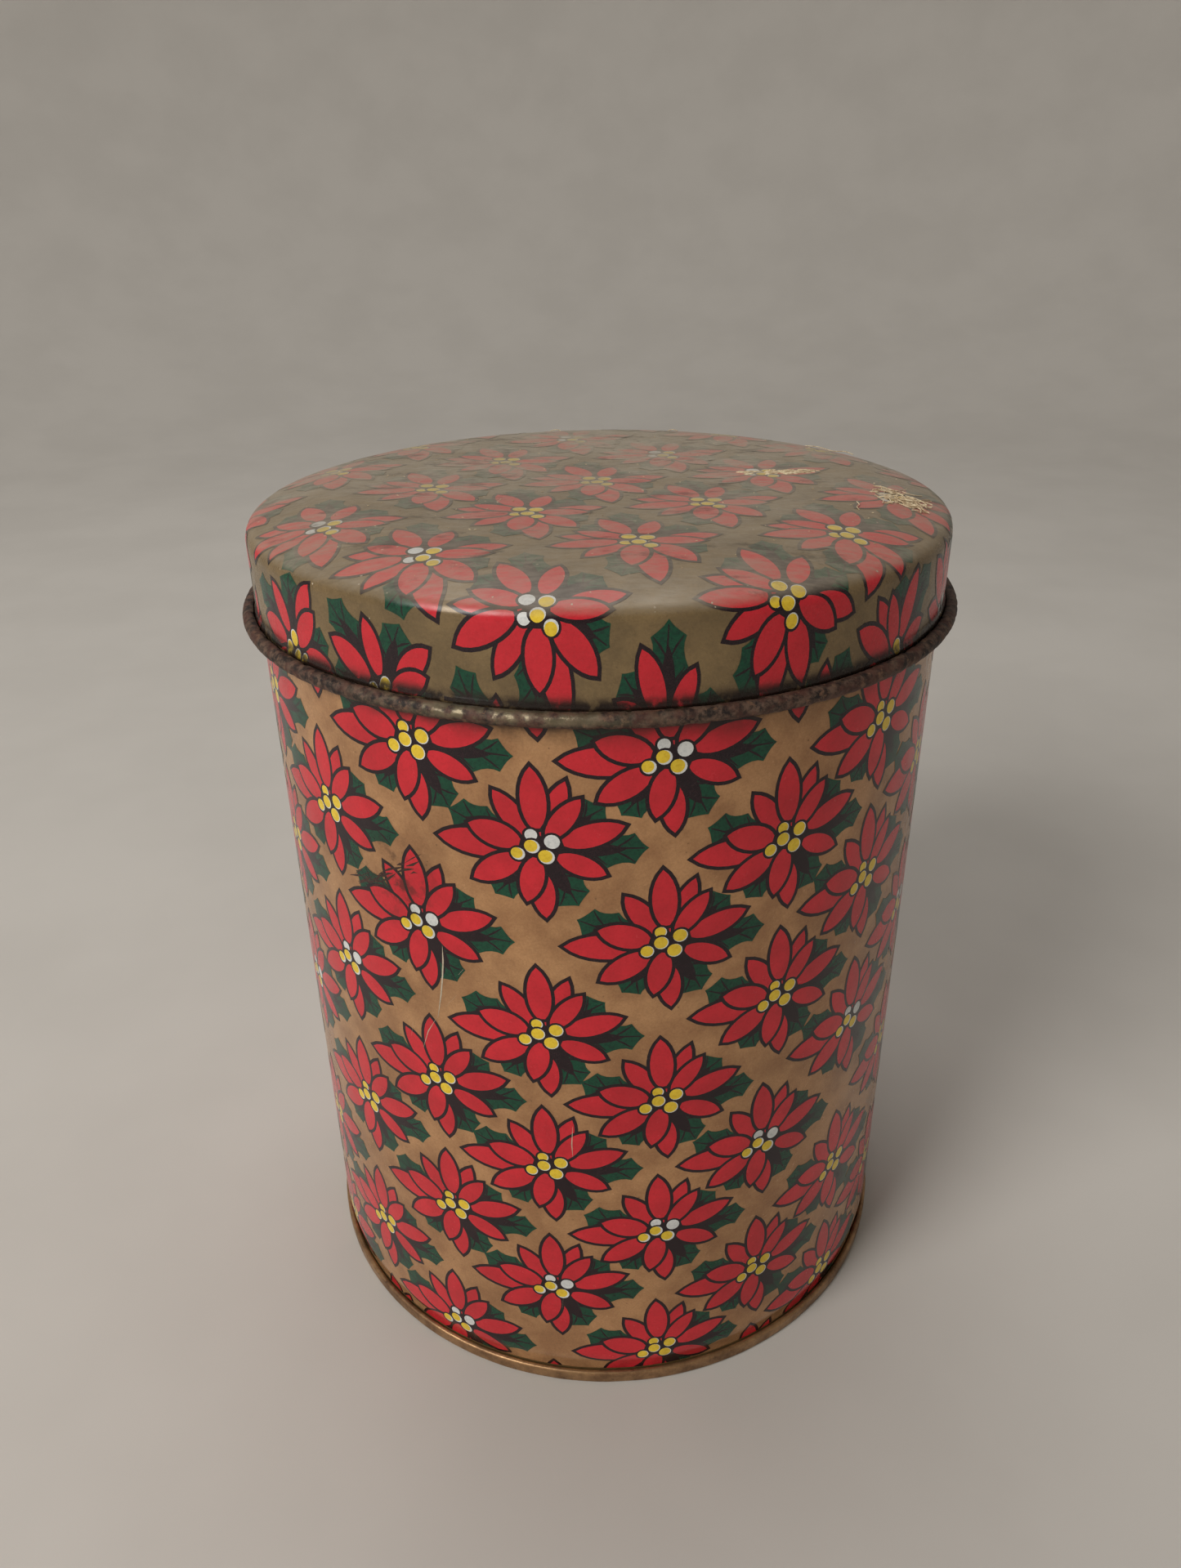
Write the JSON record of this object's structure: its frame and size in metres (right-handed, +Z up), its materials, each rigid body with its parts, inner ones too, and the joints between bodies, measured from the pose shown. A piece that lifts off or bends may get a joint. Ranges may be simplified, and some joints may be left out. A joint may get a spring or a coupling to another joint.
{
  "type": "slip-lid tin",
  "caption": "Tall round tinplate tin with a lift-off drawn lid that has a rolled edge, a seamed base, and an all-over print of red flowers and green leaves.",
  "frame": {"origin": "on the tin's axis, at the plane the base seam rests on", "axes": "+Z up along the tin's axis; the side seam of the body wall is at +Y, so the front is -Y"},
  "size_m": [0.1048, 0.1048, 0.1321],
  "materials": {
    "lid_tinplate": "satin",
    "wall_tinplate": "gloss",
    "gold_lacquer": "satin"
  },
  "bodies": {
    "can": {"body_wall": "wall_tinplate", "base": "gold_lacquer"},
    "lid": {"lid": "lid_tinplate"}
  },
  "joints": [
    {"name": "lid_lift", "type": "slide", "parent": "can", "child": "lid", "axis": [0, 0, 1], "range_m": [0, 0.06]}
  ]
}
